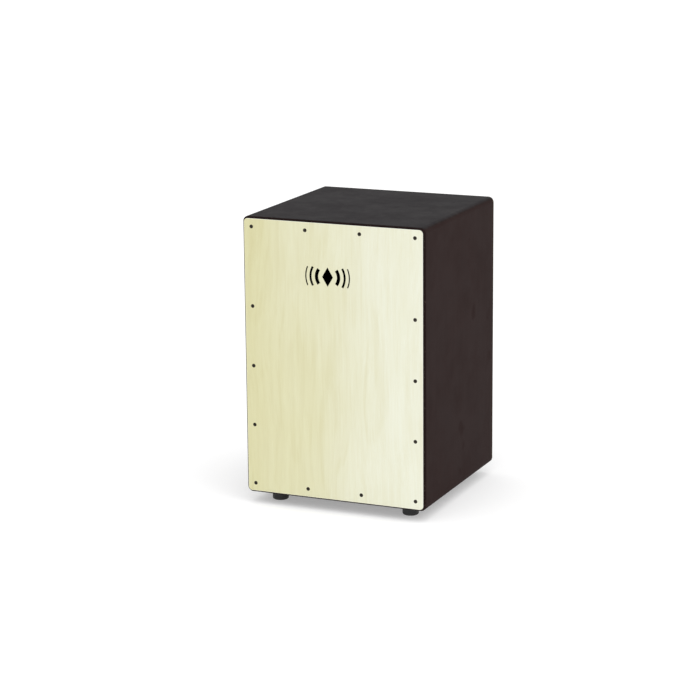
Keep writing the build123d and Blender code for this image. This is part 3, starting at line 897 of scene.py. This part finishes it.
def islands(shape):
    """The verts of each loose part of a bmesh, always in the same order."""
    left, parts = set(shape.verts), []
    for seed in shape.verts:
        if seed not in left:
            continue
        left.remove(seed)
        reached = [seed]
        for vert in reached:
            near = {edge.other_vert(vert) for edge in vert.link_edges} & left
            reached += near
            left -= near
        parts.append(reached)
    return parts


def corners_of(verts):
    """Lowest and highest corners of the box round some verts."""
    return (Vector(min(vert.co[axis] for vert in verts) for axis in range(3)),
            Vector(max(vert.co[axis] for vert in verts) for axis in range(3)))


BOLT_RADIUS = 3.0 * MM
BOLT_STEPS = 40
HEAD_HEIGHT = 4.0 * MM
HEAD_HALF = 5.0 * MM                        # half across its flats
HEAD_EASING = 0.35 * MM
THREAD_LENGTH = 13.0 * MM
THREAD_PITCH = 1.0 * MM
THREAD_TURNS = 11
THREAD_STEPS = 24
THREAD_DEPTH = 0.32 * MM
RIDGE_RADIUS = THREAD_DEPTH * 1.15          # a ridge sinks a little into the core
CORE_RADIUS = BOLT_RADIUS - THREAD_DEPTH
RUN_OUT = 0.5 * MM                          # where the shank narrows to the core
TIP_HEIGHT = 0.6 * MM
TIP_INSET = 0.5 * MM
BOLT_EASING = 0.1 * MM


def hexagon_head():
    """A bolt's hexagon head from z = 0 up, with broken arrises."""
    head = bmesh.new()
    bmesh.ops.create_circle(head, cap_ends=True, segments=6, radius=HEAD_HALF / math.cos(math.pi / 6))
    grown = bmesh.ops.extrude_face_region(head, geom=head.faces[:])["geom"]
    risen = [part for part in grown if isinstance(part, bmesh.types.BMVert)]
    bmesh.ops.translate(head, verts=risen, vec=(0, 0, HEAD_HEIGHT))
    bmesh.ops.recalc_face_normals(head, faces=head.faces[:])
    return broken_arrises(head, HEAD_EASING, 0.0)


def threaded_bolts(zinc):
    """The two pivot bolts: eased hexagon head, plain shank under the cheek, rolled thread at the tip."""
    shape = merged("pivot_bolts")
    bolts = []
    for island in islands(shape):
        middle, half = middle_and_half(*corners_of(island))
        inward = -1 if middle.x > 0 else 1
        length = 2 * half.x
        start = length - THREAD_LENGTH
        shank = spun([(0, 0, 0), (CORE_RADIUS, 0, 0), (CORE_RADIUS, HEAD_HEIGHT, 0),
                      (BOLT_RADIUS, HEAD_HEIGHT, 0), (BOLT_RADIUS, start, BOLT_EASING),
                      (CORE_RADIUS, start + RUN_OUT, BOLT_EASING), (CORE_RADIUS, length - TIP_HEIGHT, 0),
                      (CORE_RADIUS - TIP_INSET, length, BOLT_EASING), (0, length, 0)], BOLT_STEPS)
        ridge = wound(RIDGE_RADIUS, 3, BOLT_RADIUS - RIDGE_RADIUS, THREAD_PITCH, THREAD_TURNS, THREAD_STEPS)
        bmesh.ops.translate(ridge, verts=ridge.verts, vec=(0, 0, start + TIP_HEIGHT))
        head_end = middle - Vector((inward * half.x, 0, 0))
        bolts.append(set_at(together([shank, ridge, hexagon_head()]), head_end, (inward, 0, 0)))
    shape.free()
    piece_from(together(bolts), "pivot_bolts_threaded", zinc, BODY_OF["pivot_bolts"],
               ["pivot_bolts"])


CAST_VOXEL = 0.28 * MM
CAST_SMOOTHINGS = 4


def cast_wing_nut(side, zinc):
    """Die-cast wing nut: the node's shape with every edge and inner corner softened."""
    node = f"{side}_wing_nut"
    mesh = mesh_of(merged(node), "casting")
    casting = shown("casting", mesh)
    remesh = casting.modifiers.new("remesh", "REMESH")
    remesh.mode = "VOXEL"
    remesh.voxel_size = CAST_VOXEL
    done = casting.evaluated_get(bpy.context.evaluated_depsgraph_get())
    shape = bmesh.new()
    shape.from_mesh(done.to_mesh())
    done.to_mesh_clear()
    bpy.data.objects.remove(casting)
    bpy.data.meshes.remove(mesh)
    for _ in range(CAST_SMOOTHINGS):
        bmesh.ops.smooth_vert(shape, verts=shape.verts, factor=0.5, use_axis_x=True, use_axis_y=True,
                              use_axis_z=True)
    piece_from(shape, f"{side}_wing_nut_cast", zinc, BODY_OF[node], [node])


def eased_node(node, material, width, shortest):
    """A node with its square arrises broken."""
    shape = broken_arrises(merged(node), width, shortest)
    piece_from(shape, f"{node}_eased", material, BODY_OF[node], [node])


# ---------------------------------------------------------------- glue

GLUE_RADIUS = 1.1 * MM
GLUE_STEP = 7 * MM
GLUE_SIDES = 6
GLUE_SIZES = (0.55, 1.5)                    # shares of its radius, thinnest and thickest


def glue_bead(start, end, chance):
    """An uneven bead of dried glue that lies in an inner corner from start to end."""
    shape = bmesh.new()
    bmesh.ops.create_circle(shape, segments=GLUE_SIDES, radius=GLUE_RADIUS)
    line = shape.edges[:]
    length = (end - start).length
    count = round(length / GLUE_STEP)
    size = 1.0
    for _ in range(count):
        grown = bmesh.ops.extrude_edge_only(shape, edges=line)["geom"]
        rim = [part for part in grown if isinstance(part, bmesh.types.BMVert)]
        line = [part for part in grown if isinstance(part, bmesh.types.BMEdge)]
        goal = chance.uniform(*GLUE_SIZES)
        bmesh.ops.scale(shape, verts=rim, vec=(goal / size, goal / size, 1))
        bmesh.ops.translate(shape, verts=rim, vec=(0, 0, length / count))
        size = goal
    bmesh.ops.holes_fill(shape, edges=[edge for edge in shape.edges if edge.is_boundary], sides=GLUE_SIDES)
    bmesh.ops.recalc_face_normals(shape, faces=shape.faces[:])
    return set_at(shape, start, end - start)


def glue_lines(glue, chance):
    """Squeezed-out glue where the front and rear battens meet the boards."""
    beads = []
    for end, edge in (("front", 1), ("rear", 0)):
        for side in ("left", "right"):
            low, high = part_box(f"{end}_{side}_batten")
            x = low.x if side == "left" else high.x
            y = (low, high)[edge].y
            beads.append(glue_bead(Vector((x, y, low.z)), Vector((x, y, high.z)), chance))
        for level in ("top", "bottom"):
            low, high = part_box(f"{end}_{level}_batten")
            z = high.z if level == "top" else low.z
            y = (low, high)[edge].y
            beads.append(glue_bead(Vector((low.x, y, z)), Vector((high.x, y, z)), chance))
    piece_from(together(beads), "batten_glue", glue, "shell")


# ---------------------------------------------------------------- emblem

EMBLEM_CENTRE = Vector((-8 * MM, plate_low.y, plate_high.z - 82 * MM))
INK_HEIGHT = 0.06 * MM
LOZENGE_HALF = (9 * MM, 15 * MM)
ARC_RADII = (21 * MM, 30 * MM, 37 * MM)
ARC_WIDTHS = (5.5 * MM, 3.5 * MM, 2.0 * MM)
ARC_SPREADS = (76, 62, 48)                  # degrees
ARC_STEPS = 24


def emblem():
    """A printed sign of spreading sound: a lozenge between arcs."""
    shape = bmesh.new()
    lozenge = bmesh.ops.create_circle(shape, cap_ends=True, segments=4, radius=1.0)["verts"]
    bmesh.ops.scale(shape, verts=lozenge, vec=(*LOZENGE_HALF, 1))
    for side in (0, math.pi):
        for radius, width, spread in zip(ARC_RADII, ARC_WIDTHS, ARC_SPREADS):
            start = side - math.radians(spread) / 2
            ends = [shape.verts.new((reach * math.cos(start), reach * math.sin(start), 0))
                    for reach in (radius - width, radius)]
            line = shape.edges.new(ends)
            bmesh.ops.spin(shape, geom=[line, *ends], axis=UP, cent=ORIGIN, angle=math.radians(spread),
                           steps=ARC_STEPS)
    bmesh.ops.recalc_face_normals(shape, faces=shape.faces)
    for face in shape.faces:
        if face.normal.z < 0:
            face.normal_flip()
    bmesh.ops.solidify(shape, geom=shape.faces[:], thickness=2 * INK_HEIGHT)
    bmesh.ops.rotate(shape, verts=shape.verts, matrix=Matrix.Rotation(math.pi / 2, 3, "X"))
    bmesh.ops.translate(shape, verts=shape.verts, vec=EMBLEM_CENTRE)
    piece_from(shape, "front_emblem", screen_ink("screen_ink"), "shell")


# ---------------------------------------------------------------- stage

ROOM_LIGHT = 0.82
FLOOR_GLOW = 0.33                           # a lit table, so that shadows stay light
CAMERA_AZIMUTH = 23.62
CAMERA_ELEVATION = 13.41
CAMERA_ROLL = -0.50
CAMERA_DISTANCE = 3.748
CAMERA_LENS = 122.1
CAMERA_AIM = Vector((-0.0308, -0.0140, 0.2261))
FAR = 100.0
FLOOR_RADIUS = 40.0
FLOOR_DARK = (0.72, 0.72, 0.72)
FLOOR_LIGHT = (0.74, 0.74, 0.74)
WHITE = (1, 1, 1, 1)


def point_at(thing, place, aim, roll=0.0):
    """Puts a camera or lamp at a place, looking at a point, with its head rolled about the view."""
    turn = (aim - place).to_track_quat("-Z", "Y").to_matrix().to_4x4()
    thing.matrix_world = Matrix.Translation(place) @ turn @ Matrix.Rotation(math.radians(roll), 4, "Z")


def round_the_aim(azimuth, elevation, distance):
    """A place seen from the drum at an azimuth, which is 0 in front, and an elevation."""
    a, e = math.radians(azimuth), math.radians(elevation)
    way = Vector((math.sin(a) * math.cos(e), -math.cos(a) * math.cos(e), math.sin(e)))
    return CAMERA_AIM + distance * way


def camera():
    """The camera, in front and to the right of the drum."""
    made = shown("camera", bpy.data.cameras.new("camera"))
    made.data.lens = CAMERA_LENS
    made.data.clip_end = FAR
    place = round_the_aim(CAMERA_AZIMUTH, CAMERA_ELEVATION, CAMERA_DISTANCE)
    point_at(made, place, CAMERA_AIM, CAMERA_ROLL)
    bpy.context.scene.camera = made


def floor():
    """A wide pale disc that the drum stands on."""
    disc = bmesh.new()
    bmesh.ops.create_circle(disc, cap_ends=True, segments=96, radius=FLOOR_RADIUS)
    mesh = mesh_of(disc, "floor")
    made = shown("floor", mesh)
    paint, w, shader, place = finish_of("pale_floor", Roughness=0.9, Specular_IOR_Level=0.1,
                                        Emission_Color=WHITE, Emission_Strength=FLOOR_GLOW)
    speckle = w.noise(place, 3.0, 3.0)
    w.feed(shader["Base Color"], w.mix(speckle, FLOOR_DARK, FLOOR_LIGHT))
    mesh.materials.append(paint)


def lamp(name, kind, azimuth, elevation, distance, power, **settings):
    """A lamp turned to the drum."""
    light = bpy.data.lights.new(name, kind)
    light.energy = power
    for label, value in settings.items():
        setattr(light, label, value)
    point_at(shown(name, light), round_the_aim(azimuth, elevation, distance), CAMERA_AIM)


def studio():
    """White surroundings that light less than they show, a very soft sun, and a square lamp."""
    world = bpy.data.worlds.new("studio")
    world.use_nodes = True
    bpy.context.scene.world = world
    bpy.context.scene.view_settings.view_transform = "Standard"
    background = world.node_tree.nodes["Background"].inputs
    background["Color"].default_value = WHITE
    w = Wiring(world.node_tree)
    seen = w.place("ShaderNodeLightPath").outputs["Is Camera Ray"]
    w.feed(background["Strength"], w.fade(seen, ROOM_LIGHT, 1.0))
    lamp("skylight", "SUN", azimuth=24, elevation=66, distance=5.0, power=1.05, angle=math.radians(60))
    lamp("key", "AREA", azimuth=62, elevation=24, distance=2.0, power=3.6, shape="SQUARE", size=1.0)


# ---------------------------------------------------------------- the whole drum

BATTEN_EASING = 0.7 * MM
CHEEK_EASING = 0.8 * MM
BRACKET_EASING = 0.3 * MM                   # held to almost nothing by the bracket's small bend
CLIP_EASING = 0.25 * MM


def boards():
    """The box, its plate and its back, with their screws."""
    dress(painted_board("lacquered_top", GRAIN_ACROSS), "top_panel", "bottom_panel")
    dress(painted_board("lacquered_sides", GRAIN_UP), "left_side_panel", "right_side_panel")
    dress(rear_board("lacquered_back"), "rear_panel")
    dress(face_veneer("face_veneer"), "front_plate")
    dress(black_oxide("black_oxide"), "front_plate_screws", "rear_panel_screws")


def inner_woodwork(chance):
    """Pine battens and their glue, beech cheeks and rail."""
    for end in ("front", "rear"):
        for place, turn in (("top", GRAIN_ACROSS), ("bottom", GRAIN_ACROSS), ("left", GRAIN_UP),
                            ("right", GRAIN_UP)):
            node = f"{end}_{place}_batten"
            wood = planed_wood(node + "_pine", node, PINE, PINE_LINE, turn, streaks=120.0, rings=90.0,
                               pores=0.15)
            eased_node(node, wood, BATTEN_EASING, shortest=20 * MM)
    beech = {"light": BEECH, "dark": BEECH_LINE, "streaks": 220.0, "rings": 70.0, "pores": 0.8}
    for side in ("left", "right"):
        node = f"{side}_rail_cheek"
        wood = planed_wood(node + "_beech", node, turn=GRAIN_UP, **beech)
        eased_node(node, wood, CHEEK_EASING, shortest=12 * MM)
    dress(planed_wood("rail_beech", "snare_rail", turn=GRAIN_ACROSS, **beech), "snare_rail")
    glue_lines(dried_glue("dried_glue"), chance)


def metalwork(chance):
    """Screws, washers, bolts, wing nuts, brackets, clips and wires."""
    zinc = plated_steel("zinc_plate", colour=(0.62, 0.62, 0.60), dull=(0.36, 0.35, 0.33), rough=0.24)
    yellow_zinc = plated_steel("yellow_zinc_plate", colour=(0.72, 0.60, 0.34), dull=(0.40, 0.30, 0.16),
                               rough=0.26)
    nickel = plated_steel("nickel_strip", colour=(0.68, 0.66, 0.62), dull=(0.45, 0.43, 0.40), rough=0.18,
                          brushed=(0.03, 1, 1))
    wire = plated_steel("bright_wire", colour=(0.74, 0.73, 0.71), dull=(0.5, 0.49, 0.47), rough=0.16)
    tin = plated_steel("solder_tin", colour=(0.55, 0.55, 0.56), dull=(0.30, 0.30, 0.30), rough=0.38)
    fibre = pressed_fibre("pressed_fibre")
    dress(yellow_zinc, "foot_screws", "rail_cheek_screws", "rail_bracket_screws", "snare_clip_screws")
    washers("foot_washers", zinc, UP, bore=2.2 * MM, easing=0.2 * MM)
    washers("clamp_washers", zinc, ACROSS, bore=3.05 * MM, easing=0.2 * MM)
    washers("friction_washers", fibre, ACROSS, bore=3.0 * MM, easing=0.15 * MM)
    threaded_bolts(zinc)
    for side in ("left", "right"):
        cast_wing_nut(side, zinc)
        eased_node(f"{side}_rail_bracket", zinc, BRACKET_EASING, shortest=1.0 * MM)
        eased_node(f"{side}_snare_clip", nickel, CLIP_EASING, shortest=2.0 * MM)
        coiled_strands(side, wire, chance)
        solder_row(side, tin, chance)


def feet():
    """The four feet."""
    rubber = moulded_rubber("moulded_rubber")
    for corner in FOOT_CORNERS:
        rubber_foot(corner, rubber)


chance = random.Random(41)
boards()
inner_woodwork(chance)
metalwork(chance)
feet()
emblem()
camera()
floor()
studio()
